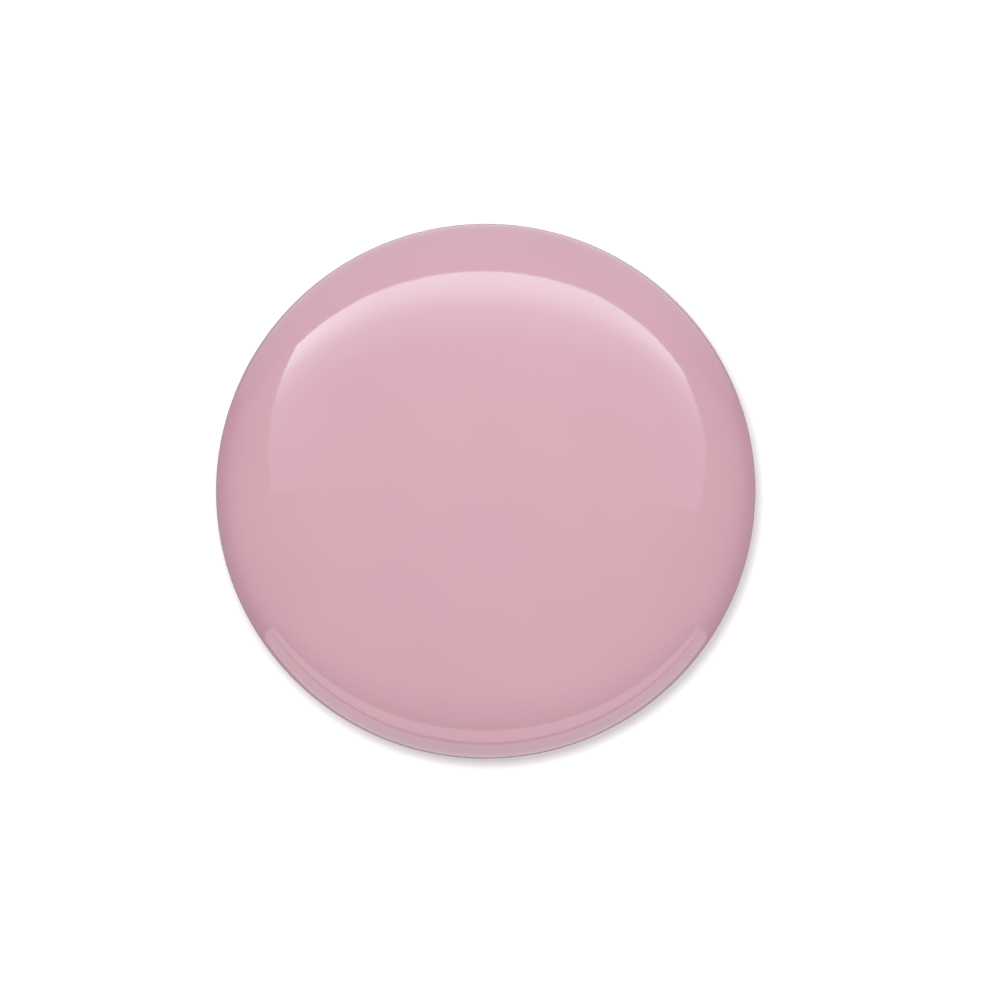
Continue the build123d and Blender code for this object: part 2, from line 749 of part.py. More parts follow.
with BuildPart() as latch_slide:
    for side in (-1, 1):
        x0 = min(side * slide_inner_half, side * slide_outer_half)
        x1 = max(side * slide_inner_half, side * slide_outer_half)
        block(x0, x1, button_back_y, slide_bar_front_y, slide_bottom_z, slide_arm_top_z)
        ear_x0 = min(side * slide_outer_half, side * slide_ear_half)
        ear_x1 = max(side * slide_outer_half, side * slide_ear_half)
        block(ear_x0, ear_x1, slide_ear_front_y, slide_ear_back_y, slide_bottom_z, slide_arm_top_z)
    block(
        -slide_outer_half, slide_outer_half, slide_bar_front_y, slide_bar_back_y,
        slide_bottom_z, slide_top_z,
    )
    block(
        -slide_outer_half + slide_foot_inset, slide_outer_half - slide_foot_inset,
        slide_bar_front_y, slide_bar_back_y,
        slide_foot_z, slide_bottom_z,
    )
    block(
        -slide_inner_half, slide_inner_half, slide_lip_front_y, slide_bar_front_y,
        slide_lip_bottom_z, slide_top_z,
    )
save(latch_slide, "latch_slide")
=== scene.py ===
"""Looks for the round clamshell pill splitter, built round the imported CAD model.

Metres, in the part's own frame: +Z up, +Y towards the hinge, -Y towards the latch.
"""
import json
import math
import bmesh
import bpy
from mathutils import Matrix, Vector


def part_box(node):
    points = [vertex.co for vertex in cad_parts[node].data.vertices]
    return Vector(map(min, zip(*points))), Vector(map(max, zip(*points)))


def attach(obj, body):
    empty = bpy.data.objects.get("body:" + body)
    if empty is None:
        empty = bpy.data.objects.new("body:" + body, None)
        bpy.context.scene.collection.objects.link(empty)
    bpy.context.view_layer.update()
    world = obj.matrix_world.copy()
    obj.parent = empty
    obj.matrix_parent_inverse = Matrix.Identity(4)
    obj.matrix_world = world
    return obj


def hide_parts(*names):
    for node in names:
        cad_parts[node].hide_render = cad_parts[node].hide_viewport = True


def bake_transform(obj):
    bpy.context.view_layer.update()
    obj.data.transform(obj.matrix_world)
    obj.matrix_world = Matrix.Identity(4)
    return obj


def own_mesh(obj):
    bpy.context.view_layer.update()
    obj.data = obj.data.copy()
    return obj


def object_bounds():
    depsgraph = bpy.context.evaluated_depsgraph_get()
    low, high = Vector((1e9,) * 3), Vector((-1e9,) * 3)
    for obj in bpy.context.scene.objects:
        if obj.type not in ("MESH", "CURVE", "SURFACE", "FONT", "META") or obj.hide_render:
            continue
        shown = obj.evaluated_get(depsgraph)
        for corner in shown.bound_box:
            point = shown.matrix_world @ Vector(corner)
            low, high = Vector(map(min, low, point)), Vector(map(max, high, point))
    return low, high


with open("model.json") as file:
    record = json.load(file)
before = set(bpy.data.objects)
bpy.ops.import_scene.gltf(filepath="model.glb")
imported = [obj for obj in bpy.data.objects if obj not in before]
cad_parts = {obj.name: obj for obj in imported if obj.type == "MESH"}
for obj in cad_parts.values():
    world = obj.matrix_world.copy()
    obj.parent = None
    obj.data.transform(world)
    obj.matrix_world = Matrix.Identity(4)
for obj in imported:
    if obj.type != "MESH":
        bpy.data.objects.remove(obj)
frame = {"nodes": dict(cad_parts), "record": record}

cad_box = [list(corner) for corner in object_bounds()]
CAD_HIGH = Vector(cad_box[1])
MM = 0.001
NODES = frame["nodes"]
NODE_SLOTS = {entry["node"]: entry["material_slot"] for entry in frame["record"]["subparts"]}
NODE_BODIES = {
    node: body for body, nodes in frame["record"]["behaviour"]["bodies"].items() for node in nodes
}


def node_box(node_name):
    """The low and high corners of a CAD node."""
    return [Vector(corner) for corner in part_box(node_name)]


# ------------------------------------------------------------------ node helpers
NOISE_LOW = 0.3         # nearly all of a noise lies between these two
NOISE_HIGH = 0.7


def new_material(name):
    """A material with one Principled shader, ready for its inputs."""
    material = bpy.data.materials.new(name)
    material.use_nodes = True
    tree = material.node_tree
    tree.nodes.clear()
    output = tree.nodes.new("ShaderNodeOutputMaterial")
    shader = tree.nodes.new("ShaderNodeBsdfPrincipled")
    tree.links.new(shader.outputs["BSDF"], output.inputs["Surface"])
    return material, tree, shader


def place(tree, stretch=(1.0, 1.0, 1.0)):
    """Object coordinates in metres, stretched along each axis."""
    coordinate = tree.nodes.new("ShaderNodeTexCoord")
    mapping = tree.nodes.new("ShaderNodeMapping")
    mapping.inputs["Scale"].default_value = stretch
    tree.links.new(coordinate.outputs["Object"], mapping.inputs["Vector"])
    return mapping.outputs["Vector"]


def noise(tree, where, scale, detail=3.0, roughness=0.5):
    """A noise texture; scale is its lumps per metre."""
    texture = tree.nodes.new("ShaderNodeTexNoise")
    texture.inputs["Scale"].default_value = scale
    texture.inputs["Detail"].default_value = detail
    texture.inputs["Roughness"].default_value = roughness
    tree.links.new(where, texture.inputs["Vector"])
    return texture.outputs["Fac"]


def ramp(tree, value, stops):
    """A colour ramp; stops are (position, colour)."""
    node = tree.nodes.new("ShaderNodeValToRGB")
    elements = node.color_ramp.elements
    while len(elements) > 1:
        elements.remove(elements[-1])
    elements[0].position = stops[0][0]
    elements[0].color = (*stops[0][1], 1.0)
    for position, colour in stops[1:]:
        element = elements.new(position)
        element.color = (*colour, 1.0)
    tree.links.new(value, node.inputs["Fac"])
    return node.outputs["Color"]


def span(tree, value, low, high, out_low, out_high):
    """Maps a value from one range to another, clamped."""
    node = tree.nodes.new("ShaderNodeMapRange")
    node.inputs["From Min"].default_value = low
    node.inputs["From Max"].default_value = high
    node.inputs["To Min"].default_value = out_low
    node.inputs["To Max"].default_value = out_high
    tree.links.new(value, node.inputs["Value"])
    return node.outputs["Result"]


def tint(tree, shader, value, dark, light):
    """Lets a noise take the shader's colour from dark to light."""
    colour = ramp(tree, value, [(NOISE_LOW, dark), (NOISE_HIGH, light)])
    tree.links.new(colour, shader.inputs["Base Color"])


def roughen(tree, shader, value, low, high):
    """Lets a noise take the shader's roughness from low to high."""
    tree.links.new(span(tree, value, NOISE_LOW, NOISE_HIGH, low, high), shader.inputs["Roughness"])


def bump(tree, shader, height, depth, strength=1.0):
    """Adds a bump of the given depth in metres to the shader."""
    node = tree.nodes.new("ShaderNodeBump")
    node.inputs["Strength"].default_value = strength
    node.inputs["Distance"].default_value = depth
    tree.links.new(height, node.inputs["Height"])
    tree.links.new(node.outputs["Normal"], shader.inputs["Normal"])


# --------------------------------------------------------------------- materials
def glossy_pink():
    """High-gloss moulded plastic: even colour, faint flow variation, fine polish haze."""
    material, tree, shader = new_material("glossy_pink")
    where = place(tree)
    flow = noise(tree, where, scale=45.0, detail=2.0)
    tint(tree, shader, flow, dark=(0.598, 0.328, 0.397), light=(0.620, 0.344, 0.413))
    haze = noise(tree, where, scale=900.0, detail=4.0, roughness=0.6)
    roughen(tree, shader, haze, low=0.045, high=0.075)
    ripple = noise(tree, where, scale=260.0, detail=2.0)
    bump(tree, shader, ripple, depth=0.003 * MM)
    shader.inputs["IOR"].default_value = 1.5
    return material


def satin_plastic(name, dark, light, rough, grain=1.0):
    """Moulded plastic off a spark-eroded tool: fine even grain and a slight colour drift."""
    material, tree, shader = new_material(name)
    where = place(tree)
    tint(tree, shader, noise(tree, where, scale=60.0), dark, light)
    speckle = noise(tree, where, scale=3500.0, detail=2.0, roughness=0.7)
    roughen(tree, shader, speckle, low=rough - 0.06, high=rough + 0.06)
    bump(tree, shader, speckle, depth=0.01 * MM * grain, strength=0.6)
    shader.inputs["IOR"].default_value = 1.49
    return material


def brushed_steel(name, stretch, dark, light, rough):
    """Ground stainless steel with fine lines across the stretch direction."""
    material, tree, shader = new_material(name)
    lines = noise(tree, place(tree, stretch), scale=60.0, detail=6.0, roughness=0.75)
    tint(tree, shader, lines, dark, light)
    roughen(tree, shader, lines, low=rough - 0.1, high=rough + 0.12)
    bump(tree, shader, lines, depth=0.004 * MM, strength=0.5)
    shader.inputs["Metallic"].default_value = 1.0
    return material


def soft_rubber(name, dark, light):
    """Matte elastomer: fine grain, no clear highlight."""
    material, tree, shader = new_material(name)
    where = place(tree)
    tint(tree, shader, noise(tree, where, scale=250.0, detail=4.0), dark, light)
    grain = noise(tree, where, scale=5200.0, detail=3.0, roughness=0.7)
    roughen(tree, shader, grain, low=0.66, high=0.86)
    bump(tree, shader, grain, depth=0.02 * MM, strength=0.7)
    return material


def grey(level):
    """A neutral colour."""
    return (level, level, level)


SLOT_MATERIALS = {
    "pink_shell": glossy_pink(),
    "white_tray": satin_plastic(
        "satin_white", dark=(0.78, 0.775, 0.76), light=(0.82, 0.815, 0.80), rough=0.42,
    ),
    "white_mech": satin_plastic(
        "satin_acetal", dark=(0.66, 0.66, 0.65), light=(0.72, 0.72, 0.71), rough=0.36, grain=0.5,
    ),
    "guard_plastic": satin_plastic(
        "guard_plastic", dark=(0.50, 0.53, 0.55), light=(0.55, 0.58, 0.60), rough=0.22, grain=0.3,
    ),
    "anvil_nylon": satin_plastic(
        "nylon", dark=(0.66, 0.63, 0.55), light=(0.72, 0.69, 0.61), rough=0.5,
    ),
    "blade_steel": brushed_steel(
        "blade_steel", (1.0, 1.0, 40.0), dark=(0.60, 0.61, 0.62), light=(0.78, 0.79, 0.80), rough=0.24,
    ),
    "screw_steel": brushed_steel(
        "screw_steel", (12.0, 12.0, 12.0), dark=grey(0.50), light=grey(0.66), rough=0.32,
    ),
    "spring_steel": brushed_steel(
        "spring_steel", (30.0, 30.0, 30.0), dark=grey(0.58), light=grey(0.74), rough=0.22,
    ),
    "grip_rubber": soft_rubber("grip_rubber", dark=(0.20, 0.19, 0.20), light=(0.25, 0.24, 0.25)),
    "foot_rubber": soft_rubber("foot_rubber", dark=(0.10, 0.085, 0.09), light=(0.13, 0.115, 0.12)),
}
for node_name, node in NODES.items():
    node.data.materials.clear()
    node.data.materials.append(SLOT_MATERIALS[NODE_SLOTS[node_name]])


# ------------------------------------------------------------------ mesh helpers
MERGE = 0.001 * MM
FLAT_ANGLE = math.radians(0.6)          # faces that turn less than this are one
EDGE_ANGLE = math.radians(32.0)         # edges sharper than this are rolled
SMOOTH_ANGLE = math.radians(40.0)       # edges sharper than this are shaded as edges
FINE_SMOOTH_ANGLE = math.radians(21.0)
ROLL_STEPS = 3
FINE_ROLL_STEPS = 5
ARC_SLACK = 0.012                       # how far off an ellipse still counts as on it


def adopt(piece, node_name):
    """The piece takes over a CAD node's place and finish, and the node is hidden."""
    slot = NODE_SLOTS[node_name]
    piece.data.materials.clear()
    piece.data.materials.append(SLOT_MATERIALS[slot])
    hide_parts(node_name)


def as_object(mesh, name, smooth_angle=SMOOTH_ANGLE):
    """Links a mesh to the scene as an object, smooth except over edges sharper than the angle."""
    piece = bpy.data.objects.new(name, mesh)
    bpy.context.scene.collection.objects.link(piece)
    for face in mesh.polygons:
        face.use_smooth = True
    mesh.set_sharp_from_angle(angle=smooth_angle)
    return piece


def finished_mesh(form, name):
    """Turns a form into a mesh and lets the form go."""
    mesh = bpy.data.meshes.new(name)
    form.to_mesh(mesh)
    form.free()
    return mesh


def ring(form, middle, radius, sides, across, rise):
    """Vertices round a circle; across and rise are the two directions that it lies in."""
    turns = [math.tau * i / sides for i in range(sides)]
    return [
        form.verts.new(middle + across * radius * math.cos(turn) + rise * radius * math.sin(turn))
        for turn in turns
    ]


def bridge(form, near, far):
    """Faces between two rings, either of which may be a single point."""
    sides = max(len(near), len(far))
    for i in range(sides):
        j = (i + 1) % sides
        if len(near) == 1:
            form.faces.new((near[0], far[j], far[i]))
        elif len(far) == 1:
            form.faces.new((near[i], near[j], far[0]))
        else:
            form.faces.new((near[i], near[j], far[j], far[i]))


X_UNIT, Y_UNIT, Z_UNIT = (Vector((1.0 if i == j else 0.0 for j in range(3))) for i in range(3))


def level_ring(form, middle, radius, height, sides):
    """A level ring at a height above its middle, or a point where it has no radius."""
    if radius == 0.0:
        return [form.verts.new(middle + Z_UNIT * height)]
    return ring(form, middle + Z_UNIT * height, radius, sides, X_UNIT, Y_UNIT)


def tube_mesh(name, points, frames, wire, sides=12):
    """A closed round wire through points; frames are the two directions across it at each one."""
    form = bmesh.new()
    rings = [
        ring(form, point, wire, sides, across, rise) for point, (across, rise) in zip(points, frames)
    ]
    for near, far in zip(rings, rings[1:]):
        bridge(form, near, far)
    form.faces.new(list(reversed(rings[0])))
    form.faces.new(rings[-1])
    bmesh.ops.recalc_face_normals(form, faces=form.faces)
    return finished_mesh(form, name)


def lathe(name, middle, profile, sides=64):
    """A round piece about an upright axis; profile is (radius, height) from the axis and back to it."""
    form = bmesh.new()
    rings = [level_ring(form, middle, radius, height, sides) for radius, height in profile]
    for near, far in zip(rings, rings[1:]):
        bridge(form, near, far)
    bmesh.ops.recalc_face_normals(form, faces=form.faces)
    return as_object(finished_mesh(form, name), name)


def steady_normals(mesh, surface_normal, match):
    """Gives corners on a known curved surface its own normal, where the face looks nearly that way.

    Match is the cosine of the largest angle between the two.
    """
    normals = [corner.vector.copy() for corner in mesh.corner_normals]
    for face in mesh.polygons:
        for loop_index in face.loop_indices:
            point = mesh.vertices[mesh.loops[loop_index].vertex_index].co
            normal = surface_normal(point)
            if normal is not None and normal.dot(face.normal) > match:
                normals[loop_index] = normal
    mesh.normals_split_custom_set(normals)


def upright_normal(point):
    """The outward normal of an upright round wall."""
    return Vector((point.x, point.y, 0.0)).normalized()


def ellipse_normal(point, centre_radius, centre_z, half_width, half_height):
    """The outward normal of a turned ellipse arc at a point on it, or None off it."""
    radius = math.hypot(point.x, point.y)
    u = (radius - centre_radius) / half_width
    v = (point.z - centre_z) / half_height
    if u < -ARC_SLACK or abs(u * u + v * v - 1.0) > ARC_SLACK:
        return None
    slope_out = u / half_width
    slope_up = v / half_height
    reach = max(radius, MERGE)
    return Vector((slope_out * point.x / reach, slope_out * point.y / reach, slope_up)).normalized()


def softened(node_name, width, rolls_over=None, surface_normal=None, match=0.0):
    """A CAD node's shape with its crisp edges rolled over, as a mould leaves it.

    With rolls_over, only the edges whose two ends it accepts are rolled. With surface_normal,
    the surfaces that it knows are shaded by it, as in steady_normals.
    """
    mesh = NODES[node_name].data.copy()
    mesh.name = node_name + "_moulded"
    form = bmesh.new()
    form.from_mesh(mesh)
    bmesh.ops.remove_doubles(form, verts=form.verts, dist=MERGE)
    corners = [vert for vert in form.verts if rolls_over is None or rolls_over(vert.co)]
    joined = set(corners)
    lines = [edge for edge in form.edges if joined.issuperset(edge.verts)]
    bmesh.ops.dissolve_limit(form, angle_limit=FLAT_ANGLE, verts=corners, edges=lines)
    crisp = [
        edge for edge in form.edges
        if len(edge.link_faces) == 2 and edge.calc_face_angle(0.0) > EDGE_ANGLE
        and (rolls_over is None or all(rolls_over(end.co) for end in edge.verts))
    ]
    bmesh.ops.bevel(
        form, geom=crisp, offset=width, offset_type="OFFSET", profile=0.5,
        segments=ROLL_STEPS if surface_normal is None else FINE_ROLL_STEPS,
        affect="EDGES", clamp_overlap=False, harden_normals=False,
    )
    form.to_mesh(mesh)
    form.free()
    smooth_angle = SMOOTH_ANGLE if surface_normal is None else FINE_SMOOTH_ANGLE
    piece = as_object(mesh, node_name + "_moulded", smooth_angle)
    if surface_normal is None:
        weighted = piece.modifiers.new("even_normals", "WEIGHTED_NORMAL")
        weighted.keep_sharp = True
    else:
        steady_normals(mesh, surface_normal, match)
    adopt(piece, node_name)
    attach(piece, NODE_BODIES[node_name])


# --------------------------------------------------------------------------- lid
# the lid keeps its CAD shape, with even reflections over the dome and its edge
LID_NORMAL_MATCH = 0.75         # low, because the small round has few facets
DOME_SPRING_Z = 13.1 * MM       # where the dome starts above the lid's upright edge
LID_EDGE_HEIGHT = 0.6 * MM
LID_ROUND = 0.4 * MM
EDGE_SLACK = 0.02 * MM
lid_high = node_box("lid_cover")[1]
lid_round_z = DOME_SPRING_Z - LID_EDGE_HEIGHT + LID_ROUND


def lid_normal(point):
    """The lid's dome, the upright edge under it, and the small round under that."""
    if point.z > DOME_SPRING_Z - MERGE:
        return ellipse_normal(point, 0.0, DOME_SPRING_Z, lid_high.x, lid_high.z - DOME_SPRING_Z)
    if point.z > lid_round_z - MERGE and math.hypot(point.x, point.y) > lid_high.x - EDGE_SLACK:
        return upright_normal(point)
    return ellipse_normal(point, lid_high.x - LID_ROUND, lid_round_z, LID_ROUND, LID_ROUND)


lid_mesh = NODES["lid_cover"].data.copy()
lid_mesh.name = "lid_cover_polished"
lid_piece = as_object(lid_mesh, "lid_cover_polished")
adopt(lid_piece, "lid_cover")
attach(lid_piece, NODE_BODIES["lid_cover"])
steady_normals(lid_mesh, lid_normal, LID_NORMAL_MATCH)


# -------------------------------------------------------------------------- bowl
# only the bowl's rim is rolled over: inside, as far as the hinge pocket at the back
BOWL_NORMAL_MATCH = 0.93
BOWL_FLAT_RADIUS = 29.0 * MM    # the bowl's flat floor, which turns up in a quarter ellipse
BOWL_TURN_Z = 9.5 * MM
BOWL_BOTTOM_Z = 0.8 * MM
BOWL_ROLL = 0.16 * MM
POCKET_MARGIN = 8.5 * MM
bowl_high = node_box("base_shell")[1]
pin_low, pin_high = node_box("hinge_pin")


def on_bowl_rim(point):
    """A point on the bowl's top edge: all along its outside, and inside clear of the hinge pocket."""
    on_outside = math.hypot(point.x, point.y) > bowl_high.x - EDGE_SLACK
    by_pocket = abs(point.x) < pin_high.x + POCKET_MARGIN and point.y > pin_low.y - POCKET_MARGIN
    return point.z > bowl_high.z - EDGE_SLACK and (on_outside or not by_pocket)


def bowl_normal(point):
    """The bowl's flat rim, its upright edge and the turned ellipse below it."""
    if point.z > bowl_high.z - MERGE:
        return Z_UNIT
    if point.z < BOWL_TURN_Z:
        turn_width = bowl_high.x - BOWL_FLAT_RADIUS
        turn_height = BOWL_TURN_Z - BOWL_BOTTOM_Z
        return ellipse_normal(point, BOWL_FLAT_RADIUS, BOWL_TURN_Z, turn_width, turn_height)
    if math.hypot(point.x, point.y) > bowl_high.x - EDGE_SLACK:
        return upright_normal(point)
    return None


softened("base_shell", BOWL_ROLL, on_bowl_rim, bowl_normal, BOWL_NORMAL_MATCH)

# ------------------------------------------- the moulded, pressed and turned pieces
EDGE_ROLLS_MM = {
    "base_deck": 0.14,
    "lid_liner": 0.16,
    "pill_bed": 0.12,
    "pill_grip_left": 0.10,
    "pill_grip_right": 0.10,
    "anvil_strip": 0.06,
    "blade_holder": 0.10,
    "blade_clamp_plate": 0.08,
    "blade_guard": 0.10,
    "blade_clamp_screws": 0.05,
    "holder_screws": 0.05,
    "deck_screws": 0.05,
    "latch_button": 0.07,
    "latch_slide": 0.08,
}
for node_name, roll in EDGE_ROLLS_MM.items():
    softened(node_name, roll * MM)

# --------------------------------------------------------------------- grip ribs
# ribs down the inner faces of the two pill grips, so that a tablet can't slip
GRIP_LEAN = math.radians(30.0)
GRIP_THICKNESS = 2.2 * MM
RIB_RADIUS = 0.32 * MM
RIB_PITCH = 1.2 * MM
RIB_COUNT = 11
RIB_SIDES = 16
RIB_TOP_GAP = 0.7 * MM          # from the grip's top down to where a rib's round top starts
RIB_TOP_STEPS = 6


def grip_ribs(node_name, side):
    """The ribs of one grip; side is the way along X that the grip lies."""
    low, high = node_box(node_name)
    outward = Vector((side * math.cos(GRIP_LEAN), math.sin(GRIP_LEAN), 0.0))
    along_face = Vector((side * math.sin(GRIP_LEAN), -math.cos(GRIP_LEAN), 0.0))
    face_middle = (low + high) / 2 - outward * GRIP_THICKNESS / 2
    face_middle.z = 0.0
    levels = [(RIB_RADIUS, low.z)]
    for step in range(RIB_TOP_STEPS):
        turn = math.radians(90.0) * step / RIB_TOP_STEPS
        rise = high.z - RIB_TOP_GAP + RIB_RADIUS * math.sin(turn)
        levels.append((RIB_RADIUS * math.cos(turn), rise))
    form = bmesh.new()
    for i in range(RIB_COUNT):
        foot = face_middle + along_face * RIB_PITCH * (i - (RIB_COUNT - 1) / 2)
        rings = [level_ring(form, foot, radius, height, RIB_SIDES) for radius, height in levels]
        for near, far in zip(rings, rings[1:]):
            bridge(form, near, far)
        form.faces.new(rings[-1])
    mesh = finished_mesh(form, node_name + "_ribs")
    piece = as_object(mesh, node_name + "_ribs")
    mesh.materials.append(SLOT_MATERIALS["grip_rubber"])
    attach(piece, "base")


grip_ribs("pill_grip_left", -1.0)
grip_ribs("pill_grip_right", 1.0)

# ------------------------------------- a stiffening bead round the lid's liner
BEAD_RADIUS = 30.2 * MM
BEAD_HALF = 0.5 * MM
BEAD_DEPTH = 0.22 * MM
BEAD_STEPS = 8
BEAD_SIDES = 160
liner_low = node_box("lid_liner")[0]
bead_profile = []
for step in range(BEAD_STEPS + 1):
    turn = math.radians(180.0) * step / BEAD_STEPS
    bead_profile.append((BEAD_RADIUS - BEAD_HALF * math.cos(turn), -BEAD_DEPTH * math.sin(turn)))
bead = lathe("liner_bead", Vector((0.0, 0.0, liner_low.z)), bead_profile, BEAD_SIDES)
bead.data.materials.append(SLOT_MATERIALS["white_tray"])
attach(bead, "lid")

# -------------------------------------------------------------------------- feet
FOOT_ROLL = 0.5 * MM
FOOT_ROLL_STEPS = 6
CUP_DEPTH = 0.35 * MM
CUP_SHAPE = [(0.0, 1.0), (0.42, 1.0), (0.50, 0.8), (0.56, 0.2), (0.60, 0.0)]    # shares of radius, depth


def rubber_foot(node_name):
    """A foot with a rolled edge and a shallow cup in the sole that grips the table."""
    low, high = node_box(node_name)
    radius = (high.x - low.x) / 2
    height = high.z - low.z
    base_point = Vector(((low.x + high.x) / 2, (low.y + high.y) / 2, low.z))
    profile = [(radius * out, CUP_DEPTH * depth) for out, depth in CUP_SHAPE]
    profile.append((radius - FOOT_ROLL, 0.0))
    for step in range(1, FOOT_ROLL_STEPS + 1):
        turn = math.radians(90.0) * step / FOOT_ROLL_STEPS
        reach = radius - FOOT_ROLL + FOOT_ROLL * math.sin(turn)
        profile.append((reach, FOOT_ROLL - FOOT_ROLL * math.cos(turn)))
    profile += [(radius, height), (0.0, height)]
    piece = lathe(node_name + "_rubber", base_point, profile)
    adopt(piece, node_name)
    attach(piece, NODE_BODIES[node_name])


for foot_name in ("foot_front_left", "foot_front_right", "foot_rear_left", "foot_rear_right"):
    rubber_foot(foot_name)

# ----------------------------------------------------------------------- springs
GUARD_WIRE = 0.18 * MM          # the wires' radii
GUARD_TURNS = 8
LATCH_WIRE = 0.15 * MM
LATCH_TURNS = 5
STEPS_PER_TURN = 48
CLOSED_TURNS = 0.8
CLOSED_PITCH = 2.04             # pitch of the closed end coils, in wire radii


def spring_piece(node_name, axis, turns, wire):
    """A compression spring with closed end coils, in the box of the CAD node that it stands for."""
    low, high = node_box(node_name)
    length = (high - low)[axis] - 2 * wire
    across_axes = [i for i in range(3) if i != axis]
    radius = (high - low)[across_axes[0]] / 2 - wire
    units = (X_UNIT, Y_UNIT, Z_UNIT)
    along_unit, first_unit, second_unit = units[axis], units[across_axes[0]], units[across_axes[1]]
    start = (low + high) / 2 - along_unit * length / 2
    closed_pitch = CLOSED_PITCH * wire
    closed_rise = CLOSED_TURNS * closed_pitch
    open_pitch = (length - 2 * closed_rise) / (turns - 2 * CLOSED_TURNS)
    points = []
    frames = []
    for i in range(int(turns * STEPS_PER_TURN) + 1):
        turn = i / STEPS_PER_TURN
        rise = min(turn, CLOSED_TURNS) * closed_pitch
        rise += max(0.0, min(turn, turns - CLOSED_TURNS) - CLOSED_TURNS) * open_pitch
        rise += max(0.0, turn - (turns - CLOSED_TURNS)) * closed_pitch
        outward = first_unit * math.cos(math.tau * turn) + second_unit * math.sin(math.tau * turn)
        points.append(start + outward * radius + along_unit * rise)
        frames.append((outward, along_unit))
    piece = as_object(tube_mesh(node_name + "_wire", points, frames, wire), node_name + "_wire")
    adopt(piece, node_name)
    return piece


for node_name in ("guard_spring_front", "guard_spring_rear"):
    spring = spring_piece(node_name, 2, GUARD_TURNS, GUARD_WIRE)
    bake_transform(spring)

spring = spring_piece("latch_spring", 1, LATCH_TURNS, LATCH_WIRE)
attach(spring, "base")
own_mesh(spring)


# ------------------------------------------------------------------------ studio
CARD_GAIN = 6.6
CARD_DISTANCE = 0.5
CARD_TINT = (0.76, 1.0, 0.97)
CARD_MIDDLE = Vector((0.0, 0.0, CAD_HIGH.z * 0.8))      # what the cards stand round
CARD_END = 0.5          # from a card's middle to its end, in U
CARD_END_START = 0.2    # where its end gain sets in


def stage_sheet(name, corners, material):
    """A flat piece of the studio."""
    mesh = bpy.data.meshes.new(name)
    mesh.from_pydata(corners, [], [tuple(range(len(corners)))])
    mesh.materials.append(material)
    piece = bpy.data.objects.new(name, mesh)
    bpy.context.scene.collection.objects.link(piece)
    return piece


def glow_material(name, emission, end_gain):
    """A glow whose levels run along V, and whose two ends along U are end_gain times as bright.

    It takes on the cards' tint as V rises.
    """
    material = bpy.data.materials.new(name)
    material.use_nodes = True
    tree = material.node_tree
    tree.nodes.clear()
    output = tree.nodes.new("ShaderNodeOutputMaterial")
    glow = tree.nodes.new("ShaderNodeEmission")
    tree.links.new(glow.outputs["Emission"], output.inputs["Surface"])
    coordinate = tree.nodes.new("ShaderNodeTexCoord")
    split = tree.nodes.new("ShaderNodeSeparateXYZ")
    tree.links.new(coordinate.outputs["UV"], split.inputs["Vector"])
    stops = [
        (position, tuple(level * (1.0 + (part - 1.0) * position) for part in CARD_TINT))
        for position, level in emission
    ]
    tree.links.new(ramp(tree, split.outputs["Y"], stops), glow.inputs["Color"])
    offset = tree.nodes.new("ShaderNodeMath")
    offset.operation = "SUBTRACT"
    offset.inputs[1].default_value = CARD_END
    tree.links.new(split.outputs["X"], offset.inputs[0])
    reach = tree.nodes.new("ShaderNodeMath")
    reach.operation = "ABSOLUTE"
    tree.links.new(offset.outputs["Value"], reach.inputs[0])
    gain = span(tree, reach.outputs["Value"], CARD_END_START, CARD_END, CARD_GAIN, CARD_GAIN * end_gain)
    tree.links.new(gain, glow.inputs["Strength"])
    return material


def glow_card(name, corners, places, emission, end_gain, seen_by):
    """A glowing card: seen_by is glossy for reflections only, or diffuse for soft light only.

    Places are its corners' U and V.
    """
    piece = stage_sheet(name, corners, glow_material(name, emission, end_gain))
    layer = piece.data.uv_layers.new(name="UVMap")
    for loop, place_uv in zip(layer.data, places):
        loop.uv = place_uv
    piece.visible_camera = False
    piece.visible_shadow = False
    piece.visible_glossy = seen_by == "glossy"
    piece.visible_diffuse = seen_by == "diffuse"


# the key: a big softbox overhead, tilted and brighter towards the back, with one corner cut
KEY_TILT = math.radians(30.0)
KEY_YAW = math.radians(-2.6)
KEY_END_GAIN = 1.4
KEY_LEVELS = [(0.0, 0.205), (0.3, 0.235), (0.5, 0.28), (0.7, 0.47), (0.85, 0.90), (1.0, 1.06)]
# its outline, in shares of its distance: to the right, and away from the front
KEY_OUTLINE = [
    (-1.085, -0.45), (1.055, -0.45), (1.055, -0.06), (0.85, 0.27), (0.63, 0.365), (0.36, 0.431),
    (-0.5, 0.431), (-0.99, 0.408), (-1.085, 0.0),
]
KEY_HALF_WIDTH = max(x for x, u in KEY_OUTLINE)
KEY_NEAR = min(u for x, u in KEY_OUTLINE)
KEY_DEPTH = max(u for x, u in KEY_OUTLINE) - KEY_NEAR


def key_softbox():
    """The softbox whose reflection fills the upper part of the lid."""
    yaw = Matrix.Rotation(KEY_YAW, 3, "Z")
    outwards = yaw @ Vector((0.0, math.sin(KEY_TILT), math.cos(KEY_TILT)))
    along = yaw @ Vector((0.0, math.cos(KEY_TILT), -math.sin(KEY_TILT)))
    across = yaw @ X_UNIT
    centre = CARD_MIDDLE + outwards * CARD_DISTANCE
    corners = [centre + (across * x + along * u) * CARD_DISTANCE for x, u in KEY_OUTLINE]
    places = [(0.5 + x / KEY_HALF_WIDTH / 2, (u - KEY_NEAR) / KEY_DEPTH) for x, u in KEY_OUTLINE]
    glow_card("key_softbox", corners, places, KEY_LEVELS, KEY_END_GAIN, "glossy")


key_softbox()


FRONT = -1.0
BACK = 1.0


